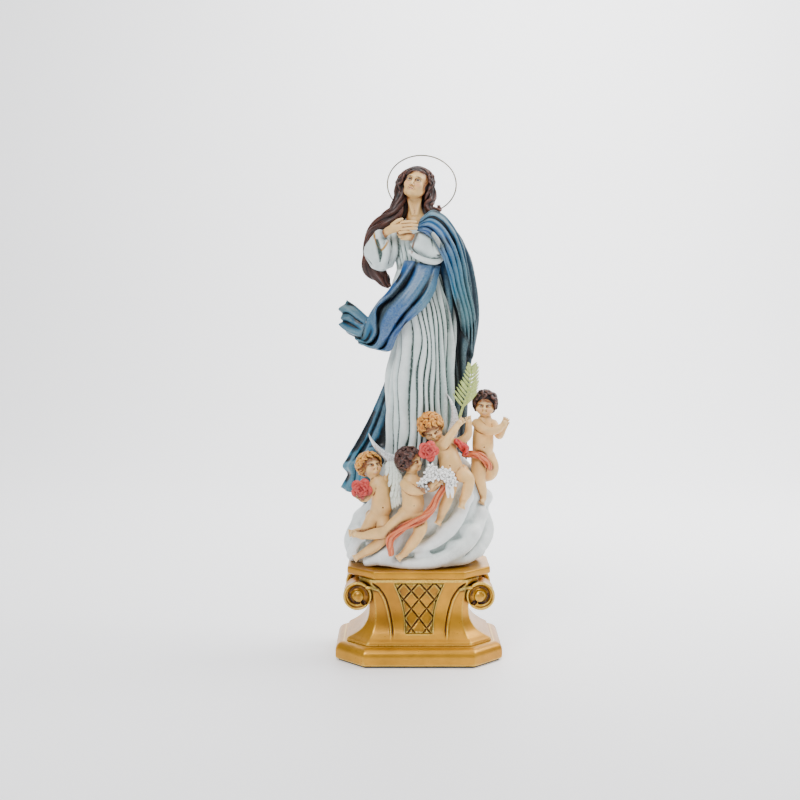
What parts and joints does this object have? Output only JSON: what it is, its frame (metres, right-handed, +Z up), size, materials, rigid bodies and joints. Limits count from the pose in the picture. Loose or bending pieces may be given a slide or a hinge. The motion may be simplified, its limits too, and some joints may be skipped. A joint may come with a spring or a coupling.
{
  "type": "devotional statue",
  "caption": "Painted resin statue of a robed woman with a wire halo on a cloud with cherubs, on a scrolled octagonal gold pedestal.",
  "frame": {"origin": "centre of the felt under the pedestal", "axes": "+Z up, the figure faces -Y, +X to the right as seen from the front"},
  "size_m": [0.1703, 0.1264, 0.5016],
  "materials": {
    "felt": "dark felt, glued under the plinth",
    "gold_paint": "antique gold paint on cast resin, dark wash in the recesses, bright worn edges",
    "steel": "plain zinc-plated screw and washer",
    "cloud_paint": "white paint on cast resin, blue-grey shading",
    "gown_paint": "white paint on cast resin, grey-green wash in the folds",
    "mantle_paint": "blue and teal paint on cast resin, near-black wash, tan dry-brushed ridges",
    "skin_paint": "cream flesh paint on cast resin, brown wash",
    "brown_hair_paint": "dark brown paint on cast resin with pink-brown highlights",
    "blond_hair_paint": "golden blond paint on cast resin, brown wash",
    "silver_paint": "silver-white paint on cast resin",
    "wing_paint": "white paint on cast resin, green-grey wash",
    "lily_paint": "white paint on cast resin, brown wash",
    "palm_paint": "pale green paint on cast resin",
    "rose_paint": "coral paint on cast resin",
    "peach_paint": "peach paint on cast resin",
    "halo_wire": "drawn wire, thin gold plating"
  },
  "bodies": {
    "statue": {"felt_pad": "felt", "pedestal_plinth": "gold_paint", "pedestal_body": "gold_paint", "pedestal_top_plate": "gold_paint", "volute_front_left": "gold_paint", "volute_front_right": "gold_paint", "volute_back_left": "gold_paint", "volute_back_right": "gold_paint", "lattice_panel_front": "gold_paint", "lattice_panel_back": "gold_paint", "fixing_screw": "steel", "fixing_washer": "steel", "cloud_base": "cloud_paint", "gown_skirt": "gown_paint", "bodice": "gown_paint", "sleeve_right": "gown_paint", "sleeve_left": "gown_paint", "mantle_back": "mantle_paint", "mantle_shoulder": "mantle_paint", "mantle_swag": "mantle_paint", "mantle_flying_end": "mantle_paint", "mantle_train": "mantle_paint", "head": "skin_paint", "hand_right": "skin_paint", "hand_left": "skin_paint", "cherub_front_body": "skin_paint", "cherub_left_body": "skin_paint", "cherub_upper_body": "skin_paint", "cherub_right_body": "skin_paint", "hair_crown": "brown_hair_paint", "hair_right": "brown_hair_paint", "hair_left": "brown_hair_paint", "cherub_front_hair": "brown_hair_paint", "cherub_right_hair": "brown_hair_paint", "cherub_left_hair": "blond_hair_paint", "cherub_upper_hair": "blond_hair_paint", "crescent_moon": "silver_paint", "cherub_wing": "wing_paint", "lily_bouquet": "lily_paint", "palm_branch": "palm_paint", "rose_left": "rose_paint", "rose_centre": "rose_paint", "red_drape": "rose_paint", "sash_peach": "peach_paint", "loincloth": "peach_paint"},
    "halo": {"halo_ring": "halo_wire", "halo_stem": "halo_wire"}
  },
  "joints": [
    {"name": "halo_pull", "type": "slide", "parent": "statue", "child": "halo", "axis": [0, 0.4648, 0.8854], "range_m": [0, 0.016]}
  ]
}
